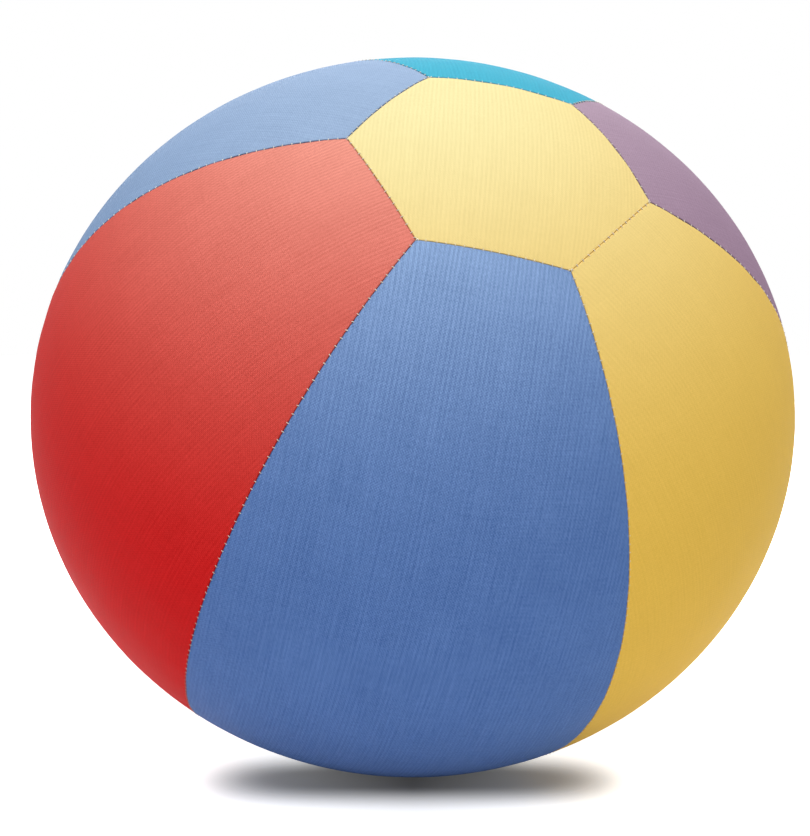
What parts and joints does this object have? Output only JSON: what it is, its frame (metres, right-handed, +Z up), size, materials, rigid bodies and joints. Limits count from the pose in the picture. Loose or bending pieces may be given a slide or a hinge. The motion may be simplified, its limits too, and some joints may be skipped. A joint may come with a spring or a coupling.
{
  "type": "balloon ball",
  "caption": "Soft play ball: a sewn cotton cover of coloured panels filled by a rubber balloon, with an overlapping flap opening.",
  "frame": {"origin": "centre of the flat spot that the ball rests on, at the foot of its box", "axes": "+Z up; -Y towards the viewer of the picture; the upper cap leans towards -Y and a little towards +X"},
  "size_m": [0.2697, 0.2698, 0.253],
  "materials": {
    "cloth_yellow": "plain woven cotton",
    "cloth_blue": "plain woven cotton",
    "cloth_purple": "plain woven cotton",
    "cloth_turquoise": "plain woven cotton",
    "cloth_light_blue": "plain woven cotton",
    "cloth_red": "plain woven cotton",
    "thread": "twisted sewing thread",
    "balloon_rubber": "thin stretched latex"
  },
  "bodies": {
    "root": {"cap_panel_top": "cloth_yellow", "side_panel_blue": "cloth_blue", "side_panel_yellow": "cloth_yellow", "side_panel_purple": "cloth_purple", "side_panel_turquoise": "cloth_turquoise", "side_panel_light_blue": "cloth_light_blue", "side_panel_red": "cloth_red", "closure_flap_outer": "cloth_yellow", "closure_flap_inner": "cloth_yellow", "seam_thread_red_blue": "thread", "seam_thread_blue_yellow": "thread", "seam_thread_yellow_purple": "thread", "seam_thread_purple_turquoise": "thread", "seam_thread_turquoise_light_blue": "thread", "seam_thread_light_blue_red": "thread", "cap_seam_thread_top": "thread", "cap_seam_thread_bottom": "thread", "hem_thread_outer": "thread", "hem_thread_inner": "thread", "balloon": "balloon_rubber"}
  },
  "joints": []
}
